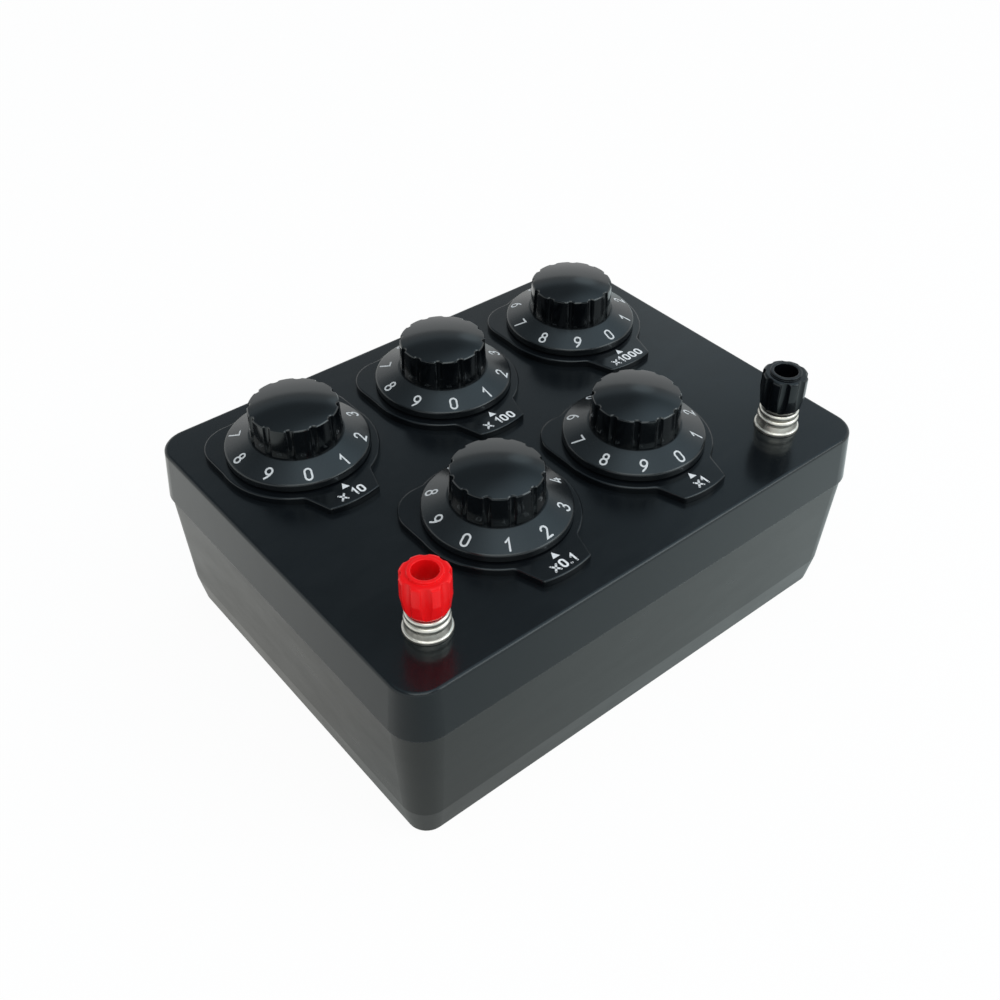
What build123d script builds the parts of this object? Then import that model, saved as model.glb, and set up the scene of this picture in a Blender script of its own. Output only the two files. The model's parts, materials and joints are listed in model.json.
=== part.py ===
from build123d import *
import math
import os

# Five-decade resistance box for a bench, in millimetres.
# Origin at the middle of the foot, +X along the long side, +Y away from the user, +Z up.

# Case, outside. Insets count inwards from the lid's top outline.
case_length = 190.0
case_width = 144.8
case_height = 68.3
corner_radius = 10.1
lid_depth = 18.6
lid_flare = 1.45
lid_overhang = 0.7
bevel_height = 11.0
bevel_top_inset = 1.45
foot_inset = 3.45
edge_round = 1.1

# Case, inside
panel_thickness = 3.5
lid_wall = 2.4
case_wall = 3.2
floor_thickness = 3.0
tongue_height = 3.0
tongue_clearance = 0.15

# Case screws, in pillars at the centres of the corner arcs
pillar_radius = 5.0
case_screw_radius = 1.9
case_screw_grip = 11.0
pilot_room = 1.0
case_screw_clearance = 0.3
case_head_radius = 3.5
case_head_height = 2.4
case_head_sink = 0.8
thread_clearance = 0.05
drive_width = 1.0
drive_depth = 1.2

# Dials on the panel, three in the back row and two in the front row.
# Pitches are shares of the case's length and width, so the rows fill the panel evenly.
back_pitch_share = 0.3153
front_pitch_share = 0.3084
row_pitch_share = 0.4544
row_shift_share = 0.0325
positions = 10
pointer_angle = -90.0

# Where each dial stands in its turn: the angle of its digit 0
zero_tenths = -156.4
zero_ones = -89.3
zero_tens = -112.4
zero_hundreds = -117.4
zero_thousands = -88.1

# Dial plate
plate_side_gap = 3.35
plate_thickness = 2.4
plate_side_flat = 0.2
plate_back_reach = 24.4
plate_corner_radius = 12.0
tab_reach = 34.4
tab_root_half = 12.4
tab_end_half = 9.2
tab_corner_round = 0.8
tab_root_round = 3.0
plate_edge_round = 0.5

# Dial skirt, a shallow cone with the digits
skirt_gap = 0.5
skirt_radius = 23.85
skirt_side_height = 2.4
skirt_rise = 3.45
skirt_edge_round = 0.8
skirt_wall = 2.0
skirt_top_margin = 0.5

# Knob
knob_base_radius = 15.15
knob_top_radius = 14.65
knob_height = 10.65
knob_crown = 1.8
crown_share_halfway = 0.75
knob_edge_chamfer = 0.3
flute_count = 12
flute_radius = 1.5
flute_depth = 0.8
spigot_radius = 4.9
spigot_depth = 1.8
spigot_clearance = 0.1
grip_screw_radius = 1.95
grip_screw_socket_radius = 1.0
grip_screw_socket_depth = 2.0
grip_screw_length = 7.0
grip_screw_height = 5.0
cutter_overrun = 2.0

# Switch shaft, bushing and index wheel
shaft_radius = 3.0
shaft_in_knob = 8.0
shaft_flat_depth = 0.5
running_clearance = 0.05
barrel_radius = 4.7
barrel_clearance = 0.2
barrel_above_nut = 0.8
flange_radius = 7.5
flange_thickness = 2.2
bushing_nut_flats = 14.0
bushing_nut_thickness = 2.4
index_gap = 0.5
index_radius = 10.0
index_thickness = 2.5
index_notch_radius = 1.5
spring_thickness = 0.6
spring_radius = 8.0
spring_width = 5.0
spring_nose_radius = 1.3
spring_nose_gap = 0.4

# Switch deck with its contacts, under the panel
deck_drop = 14.0
deck_radius = 23.8
deck_thickness = 2.5
deck_shaft_clearance = 0.3
deck_post_circle = 21.1
deck_post_radius = 2.4
deck_post_count = 3
deck_post_angle = -72.0
deck_screw_radius = 1.3
deck_screw_grip = 6.0
deck_head_radius = 2.4
deck_head_height = 1.6
stud_circle = 16.0
stud_head_radius = 2.2
stud_head_height = 1.2
stud_shank_radius = 1.5
stud_tail = 4.5
fit_clearance = 0.05
ring_inner_radius = 7.0
ring_outer_radius = 9.5
ring_pin_radius = 1.0
brush_gap = 0.3
brush_width = 4.4
brush_thickness = 0.8
brush_hub_radius = 5.4
brush_hub_height = 3.0
shaft_below_deck = 2.0

# Resistor bobbins under the deck, one between each pair of neighbouring studs
bobbin_length = 14.0
bobbin_flange_radius = 2.9
bobbin_flange_thickness = 1.0
bobbin_winding_radius = 2.5

# Binding posts
post_margin_x = 20.9
post_margin_y = 20.25
stem_radius = 3.0
stem_height = 13.4
stem_below_panel = 9.5
socket_radius = 2.0
socket_depth = 10.0
post_foot_radius = 7.5
post_foot_height = 1.4
post_foot_round = 0.6
post_seat_round = 0.3
collar_cone_radius = 7.3
collar_cone_height = 3.2
collar_neck_radius = 6.45
collar_neck_height = 0.3
collar_ring_radius = 6.9
collar_ring_height = 2.4
collar_ring_round = 1.0
washer_gap = 0.1
washer_radius = 6.65
washer_thickness = 2.1
washer_edge_round = 0.8
washer_key_flat = 0.6
cap_base_radius = 6.0
cap_base_flare_radius = 6.9
cap_base_flare_height = 1.5
cap_belly_radius = 7.6
cap_belly_height = 6.5
cap_top_radius = 7.5
cap_gap = 0.35
cap_height = 13.5
cap_ring_radius = 5.2
cap_ring_height = 0.8
cap_bore_radius = 3.97
cap_well_gap = 0.1
cap_lobes = 8
cap_groove_radius = 2.0
cap_groove_floor = 6.5
cap_base_round = 0.4
cap_shoulder_round = 1.0
cap_mouth_round = 0.25
red_cap_turn = 9.0
black_cap_turn = -4.0
post_nut_flats = 10.0
post_nut_thickness = 4.0
lug_radius = 5.2
lug_thickness = 0.8
lug_tail_length = 11.0
lug_tail_width = 4.0
lug_wire_inset = 0.9

# Hook-up wires
wire_radius = 0.6
wire_bend = 5.0
wire_first_drop = 20.0
wire_step = 2.0

# How near two coordinates lie when they count as the same
same = 0.01

# Heights that follow from the sizes above
parting_z = case_height - lid_depth
panel_under = case_height - panel_thickness
plate_top = case_height + plate_thickness
skirt_bottom = plate_top + skirt_gap
skirt_rim = skirt_bottom + skirt_side_height
skirt_top = skirt_rim + skirt_rise
knob_top = skirt_top + knob_height
flange_top = panel_under - spring_thickness
flange_bottom = flange_top - flange_thickness
index_top = flange_bottom - index_gap
index_bottom = index_top - index_thickness
deck_top = panel_under - deck_drop
deck_bottom = deck_top - deck_thickness
stud_bottom = deck_bottom - stud_tail
brush_bottom = deck_top + stud_head_height + brush_gap
collar_top = case_height + collar_cone_height + collar_ring_height
washer_bottom = collar_top + washer_gap
washer_top = washer_bottom + washer_thickness
cap_bottom = washer_top + cap_gap
cap_shoulder = cap_bottom + cap_height
cap_top = cap_shoulder + cap_ring_height
stem_top = case_height + stem_height
cap_well_floor = stem_top + cap_well_gap

# Places that follow from the sizes above
back_pitch = back_pitch_share * case_length
front_pitch = front_pitch_share * case_length
row_pitch = row_pitch_share * case_width
row_shift = row_shift_share * case_width
plate_radius = back_pitch / 2 - plate_side_gap
plate_half_width = plate_radius - plate_side_flat
back_y = row_pitch / 2 + row_shift
front_y = -row_pitch / 2 + row_shift
pillar_x = case_length / 2 - corner_radius
pillar_y = case_width / 2 - corner_radius
post_x = case_length / 2 - post_margin_x
post_y = -(case_width / 2 - post_margin_y)
step_angle = 360.0 / positions

# Each decade: its name, its dial's centre and the angle of its digit 0
decades = [
    ("tenths", -front_pitch / 2, front_y, zero_tenths),
    ("ones", front_pitch / 2, front_y, zero_ones),
    ("tens", -back_pitch, back_y, zero_tens),
    ("hundreds", 0.0, back_y, zero_hundreds),
    ("thousands", back_pitch, back_y, zero_thousands),
]


def save(name, *solids):
    """Write one named piece, or a group of like pieces, to its own file."""
    export_step(Compound(children=list(solids)), f"parts/{name}.step")


def solid_of(shape):
    """The single solid that a boolean operation left."""
    return shape.solids()[0]


def polar(radius, angle):
    """A point on a circle, with the angle in degrees from +X."""
    return radius * math.cos(math.radians(angle)), radius * math.sin(math.radians(angle))


def disc(radius, low, high, x=0.0, y=0.0):
    """An upright cylinder between two heights."""
    return Pos(x, y, low) * extrude(Circle(radius), high - low)


def turned(points, x=0.0, y=0.0):
    """A solid turned about a vertical axis from radius and height pairs."""
    profile = make_face(Polyline(*[(r, 0, z) for r, z in points], close=True))
    return Pos(x, y, 0) * revolve(profile, Axis.Z)


def hexagon(flats, low, high):
    """A nut's outside, given its width across flats."""
    return Pos(0, 0, low) * extrude(RegularPolygon(flats / 2, 6, major_radius=False), high - low)


def outline(inset, z):
    """The case's outline at one height, inset from the lid's top outline."""
    shape = RectangleRounded(case_length - 2 * inset, case_width - 2 * inset, corner_radius - inset)
    return Pos(0, 0, z) * shape


def tapered(inset_low, low, inset_high, high):
    """A block with straight sloping sides between two outlines."""
    return loft([outline(inset_low, low), outline(inset_high, high)], ruled=True)


def between(low, value_low, high, value_high, z):
    """A value on the straight line between two heights."""
    return value_low + (value_high - value_low) * (z - low) / (high - low)


def lid_inner_inset(z):
    """How far the lid's inner wall lies in from the top outline."""
    return between(parting_z, lid_wall - lid_flare, panel_under, lid_wall, z)


def corners():
    """The four pillar places."""
    return [(sx * pillar_x, sy * pillar_y) for sx in (-1, 1) for sy in (-1, 1)]


def deck_posts():
    """The places of a deck's posts about the dial's centre."""
    turn = 360.0 / deck_post_count
    return [polar(deck_post_circle, deck_post_angle + turn * k) for k in range(deck_post_count)]


def stud_angle(k):
    """Where the stud for digit k stands."""
    return pointer_angle - step_angle * k


def make_lid():
    body = tapered(-lid_flare, parting_z, 0.0, case_height)
    rim = body.faces().sort_by(Axis.Z)[-1].edges()
    body = fillet(rim, edge_round)
    hollow = tapered(lid_inner_inset(parting_z), parting_z, lid_wall, panel_under)
    body = body - hollow
    for x, y in corners():
        body = body + disc(pillar_radius, parting_z, panel_under, x, y)
        pilot = case_screw_radius + thread_clearance
        body = body - disc(pilot, parting_z, parting_z + case_screw_grip + pilot_room, x, y)
    for name, x, y, zero in decades:
        for dx, dy in deck_posts():
            body = body + disc(deck_post_radius, deck_top, panel_under, x + dx, y + dy)
            pilot = deck_screw_radius + thread_clearance
            body = body - disc(pilot, deck_top, deck_top + deck_screw_grip + pilot_room, x + dx, y + dy)
        body = body - disc(barrel_radius + barrel_clearance, panel_under, case_height, x, y)
    for x in (-post_x, post_x):
        body = body - disc(stem_radius + barrel_clearance, panel_under, case_height, x, post_y)
    return solid_of(body)


def make_case():
    top_inset = lid_overhang - lid_flare
    foot = tapered(foot_inset, 0.0, bevel_top_inset, bevel_height)
    body = foot + tapered(bevel_top_inset, bevel_height, top_inset, parting_z)
    floor_inset = between(0.0, foot_inset, bevel_height, bevel_top_inset, floor_thickness)
    hollow = tapered(floor_inset + case_wall, floor_thickness, bevel_top_inset + case_wall, bevel_height)
    hollow = hollow + tapered(bevel_top_inset + case_wall, bevel_height, top_inset + case_wall, parting_z)
    body = body - hollow
    tongue_z = parting_z + tongue_height
    low_inset = lid_inner_inset(parting_z) + tongue_clearance
    high_inset = lid_inner_inset(tongue_z) + tongue_clearance
    tongue = tapered(low_inset, parting_z, high_inset, tongue_z)
    inner = top_inset + case_wall
    body = body + (tongue - tapered(inner, parting_z, inner, tongue_z))
    seat = case_head_sink + case_head_height
    for x, y in corners():
        body = body + disc(pillar_radius, floor_thickness, parting_z, x, y)
        body = body - disc(case_screw_radius + case_screw_clearance, 0.0, parting_z, x, y)
        body = body - disc(case_head_radius + case_screw_clearance, 0.0, seat, x, y)
    return solid_of(body)


def make_case_screws():
    seat = case_head_sink + case_head_height
    screws = []
    for x, y in corners():
        screw = disc(case_screw_radius, seat, parting_z + case_screw_grip, x, y)
        screw = screw + disc(case_head_radius, case_head_sink, seat, x, y)
        for turn in (0, 90):
            slot = Box(case_head_radius, drive_width, 2 * drive_depth)
            screw = screw - Pos(x, y, case_head_sink) * Rot(0, 0, turn) * slot
        screws.append(solid_of(screw))
    return screws


def make_dial_plate():
    """Escutcheon: a disc squared off at the back, with a tab towards the user."""
    end_y = -math.sqrt(tab_reach ** 2 - tab_end_half ** 2)
    root_y = -math.sqrt(plate_radius ** 2 - tab_root_half ** 2)
    tab = make_face(
        [
            Line((-tab_root_half, root_y), (-tab_end_half, end_y)),
            ThreePointArc((-tab_end_half, end_y), (0, -tab_reach), (tab_end_half, end_y)),
            Line((tab_end_half, end_y), (tab_root_half, root_y)),
            Line((tab_root_half, root_y), (0, 0)),
            Line((0, 0), (-tab_root_half, root_y)),
        ]
    )
    back = RectangleRounded(2 * plate_half_width, 2 * plate_back_reach, plate_corner_radius)
    keep = Pos(0, plate_back_reach) * Rectangle(2 * plate_radius, 2 * plate_back_reach)
    shape = Circle(plate_radius) + (back & keep) + tab
    ends = [v for v in shape.vertices() if abs(v.Y - end_y) < same]
    shape = fillet(ends, tab_corner_round)
    roots = [v for v in shape.vertices() if abs(v.Y - root_y) < same]
    shape = fillet(roots, tab_root_round)
    plate = extrude(shape, plate_thickness)
    plate = fillet(plate.faces().sort_by(Axis.Z)[-1].outer_wire().edges(), plate_edge_round)
    return solid_of(plate - disc(barrel_radius + barrel_clearance, 0.0, plate_thickness))


def make_skirt():
    """Dial skirt: a cone shell with an upright rim."""
    flat = knob_base_radius + skirt_top_margin
    hole = spigot_radius + spigot_clearance
    slope = skirt_rise / (skirt_radius - flat)
    inner_rim = skirt_radius - skirt_wall
    under_flat = skirt_top - skirt_wall
    inner_rise = skirt_rim - skirt_wall + slope * skirt_wall
    body = turned(
        [
            (hole, under_flat),
            (hole, skirt_top),
            (flat, skirt_top),
            (skirt_radius, skirt_rim),
            (skirt_radius, skirt_bottom),
            (inner_rim, skirt_bottom),
            (inner_rim, inner_rise),
            (flat, under_flat),
        ]
    )
    rims = [e for e in body.edges() if abs(e.center().Z - skirt_rim) < same]
    return solid_of(fillet(rims, skirt_edge_round))


def make_knob():
    """Fluted knob, with a lobe over digit 0 and its grip screw on the far side."""
    half_taper = math.degrees(math.atan((knob_base_radius - knob_top_radius) / knob_height))
    profile = make_face(
        [
            Line((0, 0, skirt_top), (knob_base_radius, 0, skirt_top)),
            Line((knob_base_radius, 0, skirt_top), (knob_top_radius, 0, knob_top)),
            ThreePointArc(
                (knob_top_radius, 0, knob_top),
                (knob_top_radius / 2, 0, knob_top + crown_share_halfway * knob_crown),
                (0, 0, knob_top + knob_crown),
            ),
            Line((0, 0, knob_top + knob_crown), (0, 0, skirt_top)),
        ]
    )
    body = revolve(profile, Axis.Z)
    reach = knob_base_radius - flute_depth + flute_radius
    for k in range(flute_count):
        angle = 360.0 / flute_count * (k + 0.5)
        cutter = Pos(0, 0, -cutter_overrun) * extrude(Circle(flute_radius), knob_height + 3 * cutter_overrun)
        cutter = Pos(reach, 0, skirt_top) * Rot(0, -half_taper, 0) * cutter
        body = body - Rot(0, 0, angle) * cutter
    body = chamfer(body.faces().sort_by(Axis.Z)[-1].edges(), knob_edge_chamfer)
    body = body + disc(spigot_radius, skirt_top - spigot_depth, skirt_top)
    bore = shaft_radius + running_clearance
    body = body - disc(bore, skirt_top - spigot_depth, skirt_top + shaft_in_knob)
    screw_z = skirt_top + grip_screw_height
    hole = extrude(Circle(grip_screw_radius + fit_clearance), knob_base_radius + cutter_overrun)
    body = body - Pos(0, 0, screw_z) * Rot(0, -90, 0) * hole
    return solid_of(body)


def make_grip_screw():
    """Headless screw with its tip on the shaft's flat."""
    start = shaft_radius - shaft_flat_depth
    body = extrude(Circle(grip_screw_radius), grip_screw_length)
    socket = extrude(RegularPolygon(grip_screw_socket_radius, 6), grip_screw_socket_depth)
    body = body - Pos(0, 0, grip_screw_length - grip_screw_socket_depth) * socket
    return solid_of(Pos(0, 0, skirt_top + grip_screw_height) * Rot(0, -90, 0) * Pos(0, 0, start) * body)


def make_shaft():
    """Shaft with its index wheel, and a flat for the grip screw."""
    top = skirt_top + shaft_in_knob
    body = disc(shaft_radius, deck_bottom - shaft_below_deck, top)
    flat_low = skirt_top - spigot_depth
    flat = Box(shaft_flat_depth, 2 * shaft_radius, top - flat_low, align=(Align.MIN, Align.CENTER, Align.MIN))
    body = body - Pos(-shaft_radius, 0, flat_low) * flat
    wheel = disc(index_radius, index_bottom, index_top)
    for k in range(positions):
        x, y = polar(index_radius, step_angle * k)
        wheel = wheel - disc(index_notch_radius, index_bottom, index_top, x, y)
    return solid_of(body + wheel)


def make_brush():
    """Contact arm over the stud for the digit that the pointer reads."""
    arm = SlotCenterToCenter(stud_circle, brush_width)
    arm = Pos(stud_circle / 2, 0, brush_bottom) * extrude(arm, brush_thickness)
    body = arm + disc(brush_hub_radius, brush_bottom, brush_bottom + brush_hub_height)
    return solid_of(body - disc(shaft_radius + fit_clearance, brush_bottom, brush_bottom + brush_hub_height))


def make_bushing():
    top = plate_top + bushing_nut_thickness + barrel_above_nut
    body = disc(barrel_radius, flange_bottom, top) + disc(flange_radius, flange_bottom, flange_top)
    return solid_of(body - disc(shaft_radius + running_clearance, flange_bottom, top))


def make_bushing_nut():
    high = plate_top + bushing_nut_thickness
    body = hexagon(bushing_nut_flats, plate_top, high)
    return solid_of(body - disc(barrel_radius + thread_clearance, plate_top, high))


def make_index_spring():
    """Flat washer under the panel with one arm whose nose bears on the index wheel."""
    leg = index_radius + spring_nose_gap + spring_nose_radius
    body = disc(spring_radius, flange_top, panel_under)
    reach = leg + spring_thickness
    arm = Box(reach, spring_width, spring_thickness, align=(Align.MIN, Align.CENTER, Align.MIN))
    body = body + Pos(0, 0, flange_top) * arm
    drop = panel_under - index_bottom
    down = Box(spring_thickness, spring_width, drop, align=(Align.MIN, Align.CENTER, Align.MIN))
    body = body + Pos(leg, 0, index_bottom) * down
    nose = disc(spring_nose_radius, index_bottom, index_top, leg, 0)
    behind = Pos(leg + spring_thickness, 0, index_bottom) * Box(
        2 * spring_nose_radius, spring_width, index_thickness, align=(Align.MIN, Align.CENTER, Align.MIN)
    )
    body = body + (nose - behind)
    body = body - disc(barrel_radius + thread_clearance, flange_top, panel_under)
    return solid_of(Rot(0, 0, -pointer_angle) * body)


def make_deck():
    body = disc(deck_radius, deck_bottom, deck_top)
    body = body - disc(shaft_radius + deck_shaft_clearance, deck_bottom, deck_top)
    for k in range(positions):
        x, y = polar(stud_circle, stud_angle(k))
        body = body - disc(stud_shank_radius + fit_clearance, deck_bottom, deck_top, x, y)
    x, y = ring_pin_place()
    body = body - disc(ring_pin_radius + fit_clearance, deck_bottom, deck_top, x, y)
    for x, y in deck_posts():
        body = body - disc(deck_screw_radius + fit_clearance, deck_bottom, deck_top, x, y)
    return solid_of(body)


def ring_pin_place():
    """The collector ring's pin, opposite the stud for digit 0."""
    return polar((ring_inner_radius + ring_outer_radius) / 2, -pointer_angle)


def make_contacts():
    """Ten studs and the collector ring."""
    pieces = []
    for k in range(positions):
        x, y = polar(stud_circle, stud_angle(k))
        head = disc(stud_head_radius, deck_top, deck_top + stud_head_height, x, y)
        pieces.append(solid_of(head + disc(stud_shank_radius, stud_bottom, deck_top, x, y)))
    ring = disc(ring_outer_radius, deck_top, deck_top + stud_head_height)
    ring = ring - disc(ring_inner_radius, deck_top, deck_top + stud_head_height)
    x, y = ring_pin_place()
    pieces.append(solid_of(ring + disc(ring_pin_radius, stud_bottom, deck_top, x, y)))
    return pieces


def make_bobbins():
    """Nine wound bobbins, each between two neighbouring studs."""
    low = deck_bottom - bobbin_length
    pieces = []
    for k in range(positions - 1):
        x, y = polar(stud_circle, stud_angle(k + 0.5))
        pieces.append(
            solid_of(
                turned(
                    [
                        (0, low),
                        (bobbin_flange_radius, low),
                        (bobbin_flange_radius, low + bobbin_flange_thickness),
                        (bobbin_winding_radius, low + bobbin_flange_thickness),
                        (bobbin_winding_radius, deck_bottom - bobbin_flange_thickness),
                        (bobbin_flange_radius, deck_bottom - bobbin_flange_thickness),
                        (bobbin_flange_radius, deck_bottom),
                        (0, deck_bottom),
                    ],
                    x,
                    y,
                )
            )
        )
    return pieces


def make_deck_screws():
    pieces = []
    for x, y in deck_posts():
        body = disc(deck_screw_radius, deck_bottom, deck_top + deck_screw_grip, x, y)
        pieces.append(solid_of(body + disc(deck_head_radius, deck_bottom - deck_head_height, deck_bottom, x, y)))
    return pieces


def make_post_stud():
    """Binding post's metal part: flared foot, ringed collar and threaded stem with its socket."""
    middle = case_height + collar_cone_height
    foot = disc(post_foot_radius, case_height, case_height + post_foot_height)
    foot = fillet(foot.faces().sort_by(Axis.Z)[-1].edges(), post_foot_round)
    foot = fillet(foot.faces().sort_by(Axis.Z)[0].edges(), post_seat_round)
    cone = turned(
        [
            (0, case_height),
            (collar_cone_radius, case_height),
            (collar_neck_radius, middle),
            (collar_neck_radius, middle + collar_neck_height),
            (0, middle + collar_neck_height),
        ]
    )
    ring = disc(collar_ring_radius, middle, collar_top)
    rims = ring.faces().sort_by(Axis.Z)[0].edges() + ring.faces().sort_by(Axis.Z)[-1].edges()
    body = foot + cone + fillet(rims, collar_ring_round)
    body = body + disc(stem_radius, panel_under - stem_below_panel, stem_top)
    key = Box(washer_key_flat, 2 * stem_radius, stem_top - collar_top, align=(Align.MIN, Align.CENTER, Align.MIN))
    body = body - Pos(stem_radius - washer_key_flat, 0, collar_top) * key
    return solid_of(body - disc(socket_radius, stem_top - socket_depth, stem_top))


def make_clamp_washer():
    """Washer that the cap carries; a flat keys it to the stem."""
    body = disc(washer_radius, washer_bottom, washer_top)
    rims = body.faces().sort_by(Axis.Z)[0].edges() + body.faces().sort_by(Axis.Z)[-1].edges()
    body = fillet(rims, washer_edge_round)
    hole = disc(stem_radius + running_clearance, washer_bottom, washer_top)
    key = Box(washer_key_flat, 2 * stem_radius, washer_thickness, align=(Align.MIN, Align.CENTER, Align.MIN))
    hole = hole - Pos(stem_radius - washer_key_flat + running_clearance, 0, washer_bottom) * key
    return solid_of(body - hole)


def make_cap():
    """Fluted plastic cap: a lobed barrel, a ring round its mouth and a threaded bore."""
    body = turned(
        [
            (0, cap_bottom),
            (cap_base_radius, cap_bottom),
            (cap_base_flare_radius, cap_bottom + cap_base_flare_height),
            (cap_belly_radius, cap_bottom + cap_belly_height),
            (cap_top_radius, cap_shoulder),
            (0, cap_shoulder),
        ]
    )
    body = fillet(body.faces().sort_by(Axis.Z)[0].edges(), cap_base_round)
    body = fillet(body.faces().sort_by(Axis.Z)[-1].edges(), cap_shoulder_round)
    for k in range(cap_lobes):
        x, y = polar(cap_groove_floor + cap_groove_radius, 360.0 / cap_lobes * k)
        body = body - disc(cap_groove_radius, cap_bottom, cap_shoulder, x, y)
    body = body + disc(cap_ring_radius, cap_shoulder - cap_shoulder_round, cap_top)
    body = body - disc(stem_radius + running_clearance, cap_bottom, cap_well_floor)
    body = body - disc(cap_bore_radius, cap_well_floor, cap_top)
    mouth = body.faces().sort_by(Axis.Z)[-1].edges()
    return solid_of(fillet(mouth, cap_mouth_round))


def make_post_nut():
    high = panel_under - lug_thickness
    body = hexagon(post_nut_flats, high - post_nut_thickness, high)
    return solid_of(body - disc(stem_radius + thread_clearance, high - post_nut_thickness, high))


def make_lug():
    """Solder lug with its tail towards the middle of the box."""
    low = panel_under - lug_thickness
    body = disc(lug_radius, low, panel_under)
    tail = Box(lug_tail_length, lug_tail_width, lug_thickness, align=(Align.MIN, Align.CENTER, Align.MIN))
    body = body + Pos(0, 0, low) * tail
    return solid_of(body - disc(stem_radius + thread_clearance, low, panel_under))


def make_wire(start, end, run_z):
    """A wire that drops from one terminal, runs level and rises to the next."""
    sx, sy, sz = start
    ex, ey, ez = end
    path = FilletPolyline((sx, sy, sz), (sx, sy, run_z), (ex, ey, run_z), (ex, ey, ez), radius=wire_bend)
    section = Plane(origin=(sx, sy, sz), z_dir=(0, 0, -1)) * Circle(wire_radius)
    return solid_of(sweep(section, path=path))


def make_wires():
    """Red post, the five decades in series, black post."""
    lug_end = lug_tail_length - lug_wire_inset
    lug_low = panel_under - lug_thickness
    pin_x, pin_y = ring_pin_place()
    stud_x, stud_y = polar(stud_circle, stud_angle(0))
    starts = [(-post_x + lug_end, post_y, lug_low)]
    ends = []
    for name, x, y, zero in decades:
        ends.append((x + pin_x, y + pin_y, stud_bottom))
        starts.append((x + stud_x, y + stud_y, stud_bottom))
    ends.append((post_x - lug_end, post_y, lug_low))
    wires = []
    for k, (start, end) in enumerate(zip(starts, ends)):
        wires.append(make_wire(start, end, deck_bottom - wire_first_drop - wire_step * k))
    return wires


os.makedirs("parts", exist_ok=True)

save("lid_panel", make_lid())
save("lower_case", make_case())
save("case_screws", *make_case_screws())

plate = make_dial_plate()
skirt = make_skirt()
knob = make_knob()
grip_screw = make_grip_screw()
shaft = make_shaft()
brush = make_brush()
deck = make_deck()
contacts = make_contacts()
bobbins = make_bobbins()
bushing = make_bushing()
bushing_nut = make_bushing_nut()
index_spring = make_index_spring()
deck_screws = make_deck_screws()

places = []
for name, x, y, zero in decades:
    place = Pos(x, y, 0)
    turned_place = place * Rot(0, 0, zero)
    places.append(place)
    save(f"dial_plate_{name}", place * Pos(0, 0, case_height) * plate)
    save(f"dial_skirt_{name}", turned_place * skirt)
    save(f"knob_{name}", turned_place * knob)
    save(f"grip_screw_{name}", turned_place * grip_screw)
    save(f"switch_shaft_{name}", turned_place * shaft)
    save(f"brush_{name}", turned_place * brush)
    save(f"switch_deck_{name}", place * deck)
    save(f"contacts_{name}", *[place * piece for piece in contacts])
    save(f"resistors_{name}", *[place * piece for piece in bobbins])

save("bushings", *[place * bushing for place in places])
save("bushing_nuts", *[place * bushing_nut for place in places])
save("index_springs", *[place * index_spring for place in places])
save("deck_screws", *[place * screw for place in places for screw in deck_screws])

left_post = Pos(-post_x, post_y, 0)
right_post = Pos(post_x, post_y, 0)
half_turn = Rot(0, 0, 180)
post_stud = make_post_stud()
post_nut = make_post_nut()
lug = make_lug()
washer = make_clamp_washer()
cap = make_cap()
save("post_studs", left_post * post_stud, right_post * post_stud)
save("post_nuts", left_post * post_nut, right_post * post_nut)
save("solder_lugs", left_post * lug, right_post * half_turn * lug)
save("clamp_washer_red", left_post * washer)
save("clamp_washer_black", right_post * washer)
save("cap_red", left_post * Rot(0, 0, red_cap_turn) * cap)
save("cap_black", right_post * Rot(0, 0, black_cap_turn) * cap)
save("hookup_wires", *make_wires())
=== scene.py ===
import json
import math

import bpy
from mathutils import Matrix, Vector


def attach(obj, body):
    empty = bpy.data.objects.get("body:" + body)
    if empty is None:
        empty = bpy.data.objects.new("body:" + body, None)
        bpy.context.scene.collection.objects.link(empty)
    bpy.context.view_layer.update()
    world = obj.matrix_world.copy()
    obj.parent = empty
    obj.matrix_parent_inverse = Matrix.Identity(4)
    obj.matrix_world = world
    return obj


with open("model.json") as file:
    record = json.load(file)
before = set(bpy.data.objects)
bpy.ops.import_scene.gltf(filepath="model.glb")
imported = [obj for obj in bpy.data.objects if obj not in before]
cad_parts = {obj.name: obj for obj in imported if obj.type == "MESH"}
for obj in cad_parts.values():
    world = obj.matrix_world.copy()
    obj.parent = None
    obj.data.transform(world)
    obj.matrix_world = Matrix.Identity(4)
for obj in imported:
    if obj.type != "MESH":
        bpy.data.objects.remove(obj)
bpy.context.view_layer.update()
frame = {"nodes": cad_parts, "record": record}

MM = 0.001
NODES = frame["nodes"]
SCENE = bpy.context.scene
SCENE.view_settings.view_transform = "Standard"

WHITE = (1.0, 1.0, 1.0)
COOL = (0.88, 0.98, 1.0)

# Sockets of a colour mix, which share their names with those of its other types
MIX_A, MIX_B, MIX_RESULT = 6, 7, 2

# The photograph's camera: place in metres, angles in degrees, lens and sensor in millimetres
CAMERA_PLACE = (-0.205289, -0.24221, 0.316617)
CAMERA_AZIMUTH = 40.084
CAMERA_DOWN = 41.196
CAMERA_ROLL = 0.653
CAMERA_LENS = 43.023
CAMERA_SENSOR = 36.0
CAMERA_SHIFT = (-0.00746, 0.0017)
CAMERA_CLIP = (0.01, 100.0)

# The dials: centre in millimetres, angle of digit 0, multiplier
DIALS = {
    "tenths": (-29.298, -28.193, -156.4, "x0.1"),
    "ones": (29.298, -28.193, -89.3, "x1"),
    "tens": (-59.907, 37.605, -112.4, "x 10"),
    "hundreds": (0.0, 37.605, -117.4, "x 100"),
    "thousands": (59.907, 37.605, -88.1, "x1000"),
}
DIGIT_STEP = 36.0
PLATE_TOP = 70.7
SKIRT_RIM_Z = 73.6
SKIRT_RIM_R = 23.85
SKIRT_SLOPE = 3.45 / 8.2
SKIRT_LEAN = math.cos(math.atan(SKIRT_SLOPE))

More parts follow.
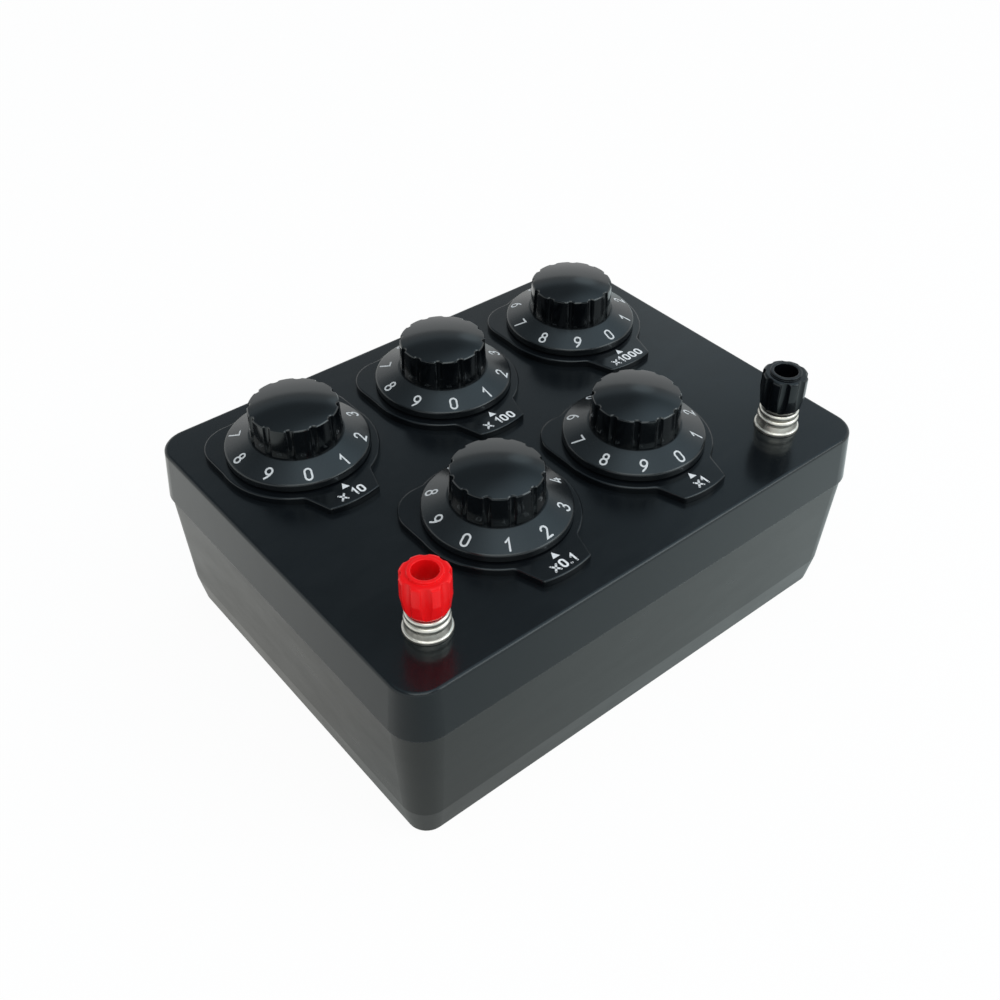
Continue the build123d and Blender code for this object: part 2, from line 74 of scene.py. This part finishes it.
# The printing, in millimetres; places on a plate's tab are from its dial's centre
INK_LIFT = 0.03
DIGIT_HEIGHT = 4.0
DIGIT_STROKE = 0.62
DIGIT_RADIUS = 20.6
LABEL_HEIGHT = 3.1
LABEL_STROKE = 0.70
LABEL_GAP = 1.2
LABEL_PLACE = (0.35, -30.65)
POINTER = ((-1.05, -27.5), (1.65, -27.5), (0.3, -24.95))
STROKE_END_SIDES = 14
STROKE_MITRE_LIMIT = 0.45

# The floor, in metres, and how it looks: plain to the camera, another tone in the object's gloss,
# where it carries painted shade and a painted colour cast
FLOOR_HALF = 12.0
FLOOR_DIFFUSE = (0.86, 0.86, 0.86, 1.0)
FLOOR_CAMERA_SHARE = 0.95
FLOOR_MIRROR_SHARE = 0.70
# The painted shade in the mirror image is darkest at this place, and fades between two distances
# from one tone to another
FLOOR_PAINTED_SHADE_PLACE = (-0.11, -0.11, 0.0)
FLOOR_PAINTED_SHADE_FADE = (0.03, 0.26, 0.45, 1.0)
# The mirror image has a painted colour cast: warm on the left and cool on the right, with the change
# between these two lines x - y
FLOOR_PAINTED_CAST_LINES = (-0.09, 0.06)
FLOOR_LEFT_PAINTED_CAST = (1.0, 1.0, 0.95)
FLOOR_RIGHT_PAINTED_CAST = (0.90, 1.04, 1.04)

# The studio's walls and ceiling: height in degrees, level
STUDIO_LEVELS = [
    (0.0, 1.0), (26.8, 1.0), (29.2, 0.48), (34.0, 0.49), (36.5, 0.46), (38.2, 0.35), (40.0, 0.25),
    (42.0, 0.21), (50.0, 0.23), (60.0, 0.34), (70.0, 0.54), (80.0, 0.72), (90.0, 0.88),
]
# They turn bluish above this height, over so many degrees, by these shares of red, green and blue
STUDIO_COOL_FROM = 26.0
STUDIO_COOL_OVER = 12.0
STUDIO_COOL_SHARES = (-0.14, 0.0, 0.10)
# The share of the colour ramp that the sine of the height runs through
RAMP_SHARE = 0.5

# Soft patches of light in the studio: azimuth, height, full and faded half width, colour
SOFT_LIGHTS = [
    (50.0, 32.5, 1.5, 6.0, (0.36, 0.44, 0.48)),
    (104.0, 66.0, 10.0, 36.0, (0.52, 0.62, 0.70)),
    (82.0, 44.0, 6.0, 28.0, (0.24, 0.32, 0.37)),
]


def make_camera():
    az = math.radians(CAMERA_AZIMUTH)
    down = math.radians(CAMERA_DOWN)
    roll = math.radians(CAMERA_ROLL)
    ahead = Vector((math.sin(az) * math.cos(down), math.cos(az) * math.cos(down), -math.sin(down)))
    right = Vector((math.cos(az), -math.sin(az), 0.0))
    up = right.cross(ahead)
    right_rolled = right * math.cos(roll) + up * math.sin(roll)
    up_rolled = up * math.cos(roll) - right * math.sin(roll)
    data = bpy.data.cameras.new("camera")
    data.lens = CAMERA_LENS
    data.sensor_width = CAMERA_SENSOR
    data.shift_x, data.shift_y = CAMERA_SHIFT
    data.clip_start, data.clip_end = CAMERA_CLIP
    camera = bpy.data.objects.new("camera", data)
    turn = Matrix((right_rolled, up_rolled, -ahead)).transposed().to_4x4()
    camera.matrix_world = Matrix.Translation(CAMERA_PLACE) @ turn
    SCENE.collection.objects.link(camera)
    SCENE.camera = camera


def direction(azimuth, height):
    """The unit vector towards an azimuth and a height in degrees."""
    a, e = math.radians(azimuth), math.radians(height)
    return Vector((math.sin(a) * math.cos(e), math.cos(a) * math.cos(e), math.sin(e)))


class Nodes:
    """Short hand for building one material's node tree."""

    def __init__(self, name):
        self.mat = bpy.data.materials.new(name)
        self.mat.use_nodes = True
        self.tree = self.mat.node_tree
        self.tree.nodes.clear()
        self.out = self.add("ShaderNodeOutputMaterial")
        self.coord = self.add("ShaderNodeTexCoord").outputs["Object"]

    def add(self, kind, **values):
        node = self.tree.nodes.new(kind)
        for key, value in values.items():
            setattr(node, key, value)
        return node

    def link(self, a, b):
        self.tree.links.new(a, b)

    def set(self, socket, value):
        if isinstance(value, bpy.types.NodeSocket):
            self.link(value, socket)
        else:
            socket.default_value = value

    def set_color(self, socket, value):
        self.set(socket, value if isinstance(value, bpy.types.NodeSocket) else (*value, 1.0))

    def shifted(self, offset, scale):
        node = self.add("ShaderNodeMapping")
        node.inputs["Location"].default_value = offset
        node.inputs["Scale"].default_value = scale
        self.link(self.coord, node.inputs["Vector"])
        return node.outputs["Vector"]

    def noise(self, scale, detail=2.0, rough=0.5, vector=None, distortion=0.0):
        node = self.add("ShaderNodeTexNoise")
        node.inputs["Scale"].default_value = scale
        node.inputs["Detail"].default_value = detail
        node.inputs["Roughness"].default_value = rough
        node.inputs["Distortion"].default_value = distortion
        self.link(vector or self.coord, node.inputs["Vector"])
        return node.outputs["Fac"]

    def voronoi(self, scale):
        node = self.add("ShaderNodeTexVoronoi", feature="F1")
        node.inputs["Scale"].default_value = scale
        self.link(self.coord, node.inputs["Vector"])
        return node.outputs["Distance"]

    def bands(self, axis, scale, distortion=0.0, detail=2.0):
        node = self.add("ShaderNodeTexWave", wave_type="BANDS", bands_direction=axis)
        node.inputs["Scale"].default_value = scale
        node.inputs["Distortion"].default_value = distortion
        node.inputs["Detail"].default_value = detail
        self.link(self.coord, node.inputs["Vector"])
        return node.outputs["Fac"]

    def span(self, value, low, high, to_low, to_high):
        node = self.add("ShaderNodeMapRange", clamp=True)
        self.link(value, node.inputs["Value"])
        names = ("From Min", "From Max", "To Min", "To Max")
        for key, number in zip(names, (low, high, to_low, to_high)):
            node.inputs[key].default_value = number
        return node.outputs["Result"]

    def math(self, operation, a, b):
        node = self.add("ShaderNodeMath", operation=operation)
        self.set(node.inputs[0], a)
        self.set(node.inputs[1], b)
        return node.outputs["Value"]

    def mix(self, factor, a, b):
        node = self.add("ShaderNodeMix", data_type="RGBA")
        self.set(node.inputs["Factor"], factor)
        self.set_color(node.inputs[MIX_A], a)
        self.set_color(node.inputs[MIX_B], b)
        return node.outputs[MIX_RESULT]

    def clouded(self, dark, light, scale, detail=4.0, rough=0.6, low=0.3, high=0.7):
        """A colour that drifts between two close tones."""
        cloud = self.noise(scale, detail, rough)
        return self.mix(self.span(cloud, low, high, 0.0, 1.0), dark, light)

    def edge_normal(self, radius_mm):
        node = self.add("ShaderNodeBevel", samples=6)
        node.inputs["Radius"].default_value = radius_mm * MM
        return node.outputs["Normal"]

    def bump(self, height, depth_mm, strength=1.0, normal=None):
        node = self.add("ShaderNodeBump")
        node.inputs["Strength"].default_value = strength
        node.inputs["Distance"].default_value = depth_mm * MM
        self.link(height, node.inputs["Height"])
        if normal is not None:
            self.link(normal, node.inputs["Normal"])
        return node.outputs["Normal"]

    def finish(self, color, rough, normal, metallic=0.0, ior=1.5, tint=WHITE):
        shader = self.add("ShaderNodeBsdfPrincipled")
        self.set_color(shader.inputs["Base Color"], color)
        self.set(shader.inputs["Roughness"], rough)
        shader.inputs["Metallic"].default_value = metallic
        shader.inputs["IOR"].default_value = ior
        shader.inputs["Specular Tint"].default_value = (*tint, 1.0)
        self.link(normal, shader.inputs["Normal"])
        self.link(shader.outputs["BSDF"], self.out.inputs["Surface"])
        return self.mat


def gloss_plastic(name, dark, light, rough, edge, ior=1.5, tint=COOL, peel=0.004, dust=0.08):
    """Moulded gloss plastic: faint sink and flow, fine grain, handling marks in the sheen."""
    n = Nodes(name)
    color = n.clouded(dark, light, scale=35.0)
    drawn = n.shifted(offset=(0.013, 0.2, 0.1), scale=(1.0, 2.5, 1.0))
    smear = n.noise(60.0, detail=6.0, rough=0.7, vector=drawn, distortion=0.6)
    sheen = n.span(smear, 0.35, 0.75, rough * 0.85, rough * 1.25)
    sheen = n.math("ADD", sheen, n.span(n.voronoi(1100.0), 0.0, 0.12, dust, 0.0))
    normal = n.bump(n.noise(220.0, rough=0.4), peel, normal=n.edge_normal(edge))
    normal = n.bump(n.noise(4200.0, detail=3.0), 0.0015, normal=normal)
    return n.finish(color, sheen, normal, ior=ior, tint=tint)


def grained_plastic(name, dark, light, rough, edge, ior, tint):
    """Satin moulding with a fine spark-eroded grain."""
    n = Nodes(name)
    color = n.clouded(dark, light, scale=28.0, detail=5.0)
    drawn = n.shifted(offset=(0.31, 0.07, 0.0), scale=(1.0, 1.0, 3.0))
    smear = n.noise(45.0, detail=5.0, rough=0.65, vector=drawn)
    sheen = n.span(smear, 0.3, 0.75, rough * 0.9, rough * 1.15)
    grain = n.noise(2600.0, detail=4.0, rough=0.6)
    normal = n.bump(grain, 0.010, strength=0.8, normal=n.edge_normal(edge))
    normal = n.bump(n.voronoi(3600.0), 0.005, strength=0.6, normal=normal)
    return n.finish(color, sheen, normal, ior=ior, tint=tint)


def turned_metal(name, dark, light, rough):
    """Turned and plated metal: tool rings up the piece, its sheen uneven at random."""
    n = Nodes(name)
    color = n.clouded(dark, light, scale=420.0, detail=5.0, rough=0.65, low=0.35)
    rings = n.bands("Z", 260.0, distortion=0.6)
    sheen = n.span(n.noise(900.0, detail=4.0, rough=0.6), 0.3, 0.75, rough * 0.8, rough * 1.3)
    normal = n.bump(rings, 0.004, strength=0.7, normal=n.edge_normal(0.15))
    normal = n.bump(n.noise(3500.0, detail=3.0), 0.002, strength=0.6, normal=normal)
    return n.finish(color, sheen, normal, metallic=1.0)


def laminate(name):
    """Brown paper laminate with a faint weave and cloudy resin."""
    n = Nodes(name)
    color = n.clouded((0.16, 0.072, 0.030), (0.25, 0.12, 0.05), scale=120.0, detail=5.0)
    weave = n.bands("X", 260.0, distortion=1.0)
    normal = n.bump(weave, 0.01, strength=0.5, normal=n.edge_normal(0.2))
    return n.finish(color, 0.45, normal)


def winding(name):
    """Fine lacquered wire, wound round a former."""
    n = Nodes(name)
    turns = n.bands("Z", 900.0)
    # Painted shade and highlight: each turn is lighter on its crest and darker in the groove between
    # turns.
    color = n.mix(turns, (0.10, 0.16, 0.09), (0.24, 0.36, 0.20))
    sheen = n.span(n.noise(500.0, detail=3.0), 0.3, 0.7, 0.25, 0.4)
    return n.finish(color, sheen, n.bump(turns, 0.06, strength=0.8))


def wire_cover(name):
    """Soft red insulation with a dull, slightly uneven skin."""
    n = Nodes(name)
    color = n.clouded((0.36, 0.025, 0.02), (0.46, 0.04, 0.03), scale=300.0, rough=0.5)
    sheen = n.span(n.noise(900.0, detail=3.0), 0.3, 0.7, 0.38, 0.5)
    return n.finish(color, sheen, n.bump(n.noise(2400.0), 0.01))


def white_ink(name, tone):
    """Printed or filled white, a little uneven in its cover."""
    n = Nodes(name)
    thin = [0.82 * v for v in tone]
    color = n.clouded(thin, tone, scale=1500.0, high=0.65)
    return n.finish(color, 0.35, n.bump(n.noise(3800.0), 0.004))


# Dark and light tone, roughness, radius of the worn edges in millimetres, and what else differs
GLOSS_PLASTICS = {
    "lid_gloss_black": ((0.0038, 0.0050, 0.0062), (0.0046, 0.0060, 0.0074), 0.19, 0.6,
                        {"ior": 1.43}),
    "plate_black": ((0.0024, 0.0032, 0.0042), (0.0032, 0.0041, 0.0053), 0.17, 0.45,
                    {"ior": 1.45}),
    "dial_black": ((0.0042, 0.0052, 0.0062), (0.0054, 0.0066, 0.0078), 0.23, 0.5, {}),
    "knob_black": ((0.0013, 0.0018, 0.0025), (0.0019, 0.0026, 0.0034), 0.12, 0.35,
                   {"ior": 1.52, "peel": 0.0015, "dust": 0.03}),
    "cap_red": ((0.76, 0.006, 0.008), (0.82, 0.006, 0.008), 0.24, 0.4,
                {"ior": 1.42, "tint": (1.0, 0.45, 0.45)}),
    "cap_black": ((0.0015, 0.002, 0.003), (0.002, 0.0028, 0.004), 0.2, 0.3,
                  {"ior": 1.45}),
}

# Dark and light tone, roughness
TURNED_METALS = {
    "post_nickel": ((0.63, 0.62, 0.56), (0.75, 0.74, 0.68), 0.36),
    "nut_nickel": ((0.55, 0.53, 0.48), (0.66, 0.64, 0.58), 0.28),
    "lug_tinned": ((0.58, 0.58, 0.57), (0.70, 0.70, 0.69), 0.35),
    "screw_steel": ((0.32, 0.32, 0.32), (0.45, 0.45, 0.45), 0.32),
    "spring_steel": ((0.42, 0.42, 0.43), (0.55, 0.55, 0.56), 0.25),
    "shaft_brass": ((0.56, 0.40, 0.16), (0.68, 0.50, 0.22), 0.28),
    "bushing_brass": ((0.56, 0.40, 0.16), (0.68, 0.50, 0.22), 0.30),
    "brush_bronze": ((0.50, 0.30, 0.15), (0.62, 0.40, 0.22), 0.30),
    "contact_brass": ((0.60, 0.44, 0.18), (0.72, 0.55, 0.26), 0.22),
}


def make_materials():
    """The materials by the name of the record's material slot."""
    made = {
        "case_black": grained_plastic(
            "case_black", (0.0070, 0.0076, 0.0074), (0.0080, 0.0088, 0.0085),
            rough=0.30, edge=0.5, ior=1.48, tint=(0.95, 1.0, 0.97)),
        "deck_laminate": laminate("deck_laminate"),
        "bobbin_ceramic": winding("bobbin_ceramic"),
        "wire_insulation": wire_cover("wire_insulation"),
    }
    for name, (dark, light, rough, edge, others) in GLOSS_PLASTICS.items():
        made[name] = gloss_plastic(name, dark, light, rough, edge, **others)
    for name, values in TURNED_METALS.items():
        made[name] = turned_metal(name, *values)
    return made


def dress_nodes(materials):
    slots = {s["node"]: s["material_slot"] for s in frame["record"]["subparts"]}
    for name, obj in NODES.items():
        obj.data.materials.clear()
        obj.data.materials.append(materials[slots[name]])


def arc(cx, cy, rx, ry, start, end, steps=14):
    points = []
    for i in range(steps + 1):
        a = math.radians(start + (end - start) * i / steps)
        points.append((cx + rx * math.cos(a), cy + ry * math.sin(a)))
    return points


SIX_BOWL = arc(0.27, 0.29, 0.27, 0.29, 0, 360, 24)
SIX_STEM = [(0.012, 0.36), (0.08, 0.58), (0.22, 0.80), (0.42, 1.0)]

# Centre lines of each character on a cell one high, and its width
GLYPHS = {
    "0": ([arc(0.27, 0.73, 0.27, 0.27, 0, 180) + arc(0.27, 0.27, 0.27, 0.27, 180, 360)
           + [(0.54, 0.73)]], 0.54),
    "1": ([[(0.0, 0.72), (0.26, 1.0), (0.26, 0.0)]], 0.30),
    "2": ([arc(0.27, 0.73, 0.26, 0.27, 175, -25) + [(0.02, 0.0), (0.55, 0.0)]], 0.55),
    "3": ([arc(0.26, 0.76, 0.23, 0.24, 160, -80) + arc(0.26, 0.27, 0.27, 0.27, 80, -160)], 0.53),
    "4": ([[(0.34, 1.0), (0.0, 0.27), (0.58, 0.27)], [(0.43, 0.55), (0.43, 0.0)]], 0.58),
    "5": ([[(0.50, 1.0), (0.08, 1.0), (0.04, 0.56)]
           + arc(0.26, 0.31, 0.28, 0.31, 125, -150)], 0.54),
    "6": ([SIX_BOWL, SIX_STEM], 0.54),
    "7": ([[(0.0, 1.0), (0.54, 1.0), (0.20, 0.0)]], 0.54),
    "8": ([arc(0.27, 0.76, 0.22, 0.24, 0, 360, 24), arc(0.27, 0.27, 0.27, 0.27, 0, 360, 24)], 0.54),
    "9": ([[(0.54 - x, 1.0 - y) for x, y in path] for path in (SIX_BOWL, SIX_STEM)], 0.54),
    "x": ([[(0.0, 0.84), (0.66, 0.04)], [(0.0, 0.04), (0.66, 0.84)]], 0.66),
    ".": ([[(0.0, 0.03), (0.07, 0.03)]], 0.07),
    " ": ([], 0.16),
}


def heading(start, end):
    """The direction from one point of a stroke to the next, or None where they meet."""
    run = Vector(end) - Vector(start)
    return run.normalized() if run.length > 1e-9 else None


def stroke(points, width, verts, faces):
    """One stroke of even width with round ends, as a strip of faces."""
    half = width / 2
    sides = []
    for i, point in enumerate(points):
        before = heading(points[i - 1], point) if i > 0 else None
        after = heading(point, points[i + 1]) if i < len(points) - 1 else None
        before = before or after
        after = after or before
        along = before + after
        along = along.normalized() if along.length > 1e-6 else after
        normal = Vector((-along.y, along.x))
        mitre = max(STROKE_MITRE_LIMIT, normal.dot(Vector((-after.y, after.x))))
        offset = normal * half * (1.0 / mitre)
        sides.append((Vector(point) + offset, Vector(point) - offset))
    for (a, b), (c, d) in zip(sides, sides[1:]):
        k = len(verts)
        verts.extend([a, b, d, c])
        faces.append((k, k + 1, k + 2, k + 3))
    closed = (Vector(points[0]) - Vector(points[-1])).length < 1e-6
    if closed:
        return
    for end in (points[0], points[-1]):
        k = len(verts)
        for i in range(STROKE_END_SIDES):
            a = math.tau * i / STROKE_END_SIDES
            verts.append(Vector(end) + Vector((math.cos(a), math.sin(a))) * half)
        faces.append(tuple(range(k, k + STROKE_END_SIDES)))


def word_flat(text, height, width, gap):
    """A word about its own middle, in flat millimetres: its points and faces."""
    run = 0.0
    strokes = []
    for char in text:
        paths, advance = GLYPHS[char]
        for path in paths:
            strokes.append([(run + px * height, (py - 0.5) * height) for px, py in path])
        run += advance * height + gap
    middle = (run - gap) / 2
    verts, faces = [], []
    for path in strokes:
        stroke([(x - middle, y) for x, y in path], width, verts, faces)
    return verts, faces


def facing_up(verts, faces):
    """Faces turned so that each looks up."""
    out = []
    for face in faces:
        a, b, c = (Vector(verts[i]) for i in face[:3])
        out.append(face if (b - a).cross(c - a).z > 0 else tuple(reversed(face)))
    return out


def printed_piece(name, verts, faces, material, body):
    """A thin printed piece, given in millimetres, that rides on a body."""
    mesh = bpy.data.meshes.new(name)
    mesh.from_pydata([[c * MM for c in v] for v in verts], [], facing_up(verts, faces))
    mesh.materials.append(material)
    mesh.validate()
    mesh.update()
    obj = bpy.data.objects.new(name, mesh)
    SCENE.collection.objects.link(obj)
    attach(obj, body)


def make_digits(name, ink):
    """The ten digits on a dial's cone, their tops towards the knob."""
    x, y, zero, _ = DIALS[name]
    verts, faces = [], []
    for digit in range(10):
        angle = math.radians(zero + DIGIT_STEP * digit)
        outward = Vector((math.cos(angle), math.sin(angle)))
        sideways = Vector((-math.sin(angle), math.cos(angle)))
        flat, cells = word_flat(str(digit), DIGIT_HEIGHT, DIGIT_STROKE, gap=0.0)
        k = len(verts)
        for p in flat:
            place = outward * (DIGIT_RADIUS - p.y * SKIRT_LEAN) + sideways * p.x
            height = SKIRT_RIM_Z + (SKIRT_RIM_R - place.length) * SKIRT_SLOPE + INK_LIFT
            verts.append((x + place.x, y + place.y, height))
        faces.extend(tuple(k + i for i in cell) for cell in cells)
    printed_piece(f"digits_{name}", verts, faces, ink, f"dial_{name}")


def make_marks(name, ink):
    """Pointer and multiplier on the plate's tab."""
    x, y, _, label = DIALS[name]
    flat, faces = word_flat(label, LABEL_HEIGHT, LABEL_STROKE, LABEL_GAP)
    places = [(p.x + LABEL_PLACE[0], p.y + LABEL_PLACE[1]) for p in flat]
    k = len(places)
    places.extend(POINTER)
    faces.append((k, k + 1, k + 2))
    verts = [(x + px, y + py, PLATE_TOP + INK_LIFT) for px, py in places]
    printed_piece(f"marks_{name}", verts, faces, ink, "box")


def make_floor():
    """A white table: plain white to the camera; in gloss, painted shade makes it a little darker
    near the front corner, and it carries a painted warm and cool colour cast.
    """
    n = Nodes("floor_white")
    path = n.add("ShaderNodeLightPath")
    seen = path.outputs["Is Camera Ray"]
    mirrored = n.math("MAXIMUM", path.outputs["Is Glossy Ray"], path.outputs["Is Transmission Ray"])
    # Painted shade: in the mirror image the floor darkens towards the front corner; the camera sees
    # it plain.
    corner = n.add("ShaderNodeVectorMath", operation="DISTANCE")
    n.link(n.coord, corner.inputs[0])
    corner.inputs[1].default_value = FLOOR_PAINTED_SHADE_PLACE
    tone = n.math("MAXIMUM", seen, n.span(corner.outputs["Value"], *FLOOR_PAINTED_SHADE_FADE))
    # Painted colour cast in the mirror image: warm on the left, cool on the right; the camera sees
    # white.
    split = n.add("ShaderNodeSeparateXYZ")
    n.link(n.coord, split.inputs["Vector"])
    across = n.math("SUBTRACT", split.outputs["X"], split.outputs["Y"])
    side = n.span(across, *FLOOR_PAINTED_CAST_LINES, 0.0, 1.0)
    cast = n.mix(side, FLOOR_LEFT_PAINTED_CAST, FLOOR_RIGHT_PAINTED_CAST)
    glow = n.add("ShaderNodeEmission")
    n.link(n.mix(seen, cast, WHITE), glow.inputs["Color"])
    n.link(tone, glow.inputs["Strength"])
    diffuse = n.add("ShaderNodeBsdfDiffuse")
    diffuse.inputs["Color"].default_value = FLOOR_DIFFUSE
    camera_share = n.math("MULTIPLY", seen, FLOOR_CAMERA_SHARE)
    mirror_share = n.math("MULTIPLY", mirrored, FLOOR_MIRROR_SHARE)
    mixer = n.add("ShaderNodeMixShader")
    n.link(n.math("MAXIMUM", camera_share, mirror_share), mixer.inputs["Fac"])
    n.link(diffuse.outputs["BSDF"], mixer.inputs[1])
    n.link(glow.outputs["Emission"], mixer.inputs[2])
    n.link(mixer.outputs["Shader"], n.out.inputs["Surface"])
    mesh = bpy.data.meshes.new("floor")
    corners = [(-1, -1), (1, -1), (1, 1), (-1, 1)]
    mesh.from_pydata([(FLOOR_HALF * x, FLOOR_HALF * y, 0) for x, y in corners], [], [(0, 1, 2, 3)])
    mesh.materials.append(n.mat)
    obj = bpy.data.objects.new("floor", mesh)
    SCENE.collection.objects.link(obj)


def fill_ramp(elements, stops):
    """A ramp's elements from stops, each a place and a colour."""
    while len(elements) > 1:
        elements.remove(elements[-1])
    elements[0].position = stops[0][0]
    elements[0].color = stops[0][1]
    for place, color in stops[1:]:
        elements.new(place).color = color


def studio_stops():
    """The studio's levels as the colour ramp's stops."""
    stops = []
    for height, level in STUDIO_LEVELS:
        cool = min(1.0, max(0.0, (height - STUDIO_COOL_FROM) / STUDIO_COOL_OVER))
        color = [level * (1.0 + share * cool) for share in STUDIO_COOL_SHARES]
        stops.append((math.sin(math.radians(height)) * RAMP_SHARE, (*color, 1.0)))
    return stops


def make_world():
    """A pale studio: white walls low down, a dimmer band above them, a soft ceiling."""
    world = bpy.data.worlds.new("studio")
    world.use_nodes = True
    tree = world.node_tree
    tree.nodes.clear()
    add, link = tree.nodes.new, tree.links.new
    coord = add("ShaderNodeTexCoord").outputs["Generated"]
    split = add("ShaderNodeSeparateXYZ")
    link(coord, split.inputs["Vector"])
    share = add("ShaderNodeMath")
    share.operation = "MULTIPLY"
    share.inputs[1].default_value = RAMP_SHARE
    link(split.outputs["Z"], share.inputs[0])
    ramp = add("ShaderNodeValToRGB")
    fill_ramp(ramp.color_ramp.elements, studio_stops())
    link(share.outputs["Value"], ramp.inputs["Fac"])
    total = ramp.outputs["Color"]
    for azimuth, height, inner, outer, color in SOFT_LIGHTS:
        dot = add("ShaderNodeVectorMath")
        dot.operation = "DOT_PRODUCT"
        dot.inputs[1].default_value = direction(azimuth, height)
        link(coord, dot.inputs[0])
        near = add("ShaderNodeMapRange")
        near.interpolation_type = "SMOOTHSTEP"
        near.inputs["From Min"].default_value = math.cos(math.radians(outer))
        near.inputs["From Max"].default_value = math.cos(math.radians(inner))
        link(dot.outputs["Value"], near.inputs["Value"])
        mixer = add("ShaderNodeMix")
        mixer.data_type = "RGBA"
        mixer.blend_type = "ADD"
        mixer.inputs[MIX_B].default_value = (*color, 1.0)
        link(near.outputs["Result"], mixer.inputs["Factor"])
        link(total, mixer.inputs[MIX_A])
        total = mixer.outputs[MIX_RESULT]
    back = add("ShaderNodeBackground")
    back.inputs["Strength"].default_value = 1.0
    link(total, back.inputs["Color"])
    out = add("ShaderNodeOutputWorld")
    link(back.outputs["Background"], out.inputs["Surface"])
    SCENE.world = world


def make_lamp(name, azimuth, height, distance, size, power, color):
    """A square soft box aimed at the object, in metres and watts."""
    place = direction(azimuth, height) * distance
    data = bpy.data.lights.new(name, "AREA")
    data.shape = "SQUARE"
    data.size = size
    data.energy = power
    data.color = color
    lamp = bpy.data.objects.new(name, data)
    lamp.location = place
    lamp.rotation_euler = (-place).to_track_quat("-Z", "Y").to_euler()
    SCENE.collection.objects.link(lamp)


make_camera()
dress_nodes(make_materials())
digit_ink = white_ink("digit_ink", (0.60, 0.62, 0.63))
label_ink = white_ink("label_ink", (0.80, 0.81, 0.82))
for dial in DIALS:
    make_digits(dial, digit_ink)
    make_marks(dial, label_ink)

make_floor()
make_world()
make_lamp("key", azimuth=214.0, height=60.0, distance=1.8, size=1.2, power=10.0,
          color=(1.0, 0.98, 0.94))
make_lamp("fill", azimuth=143.0, height=38.0, distance=1.6, size=0.9, power=8.0,
          color=(0.96, 0.985, 1.0))
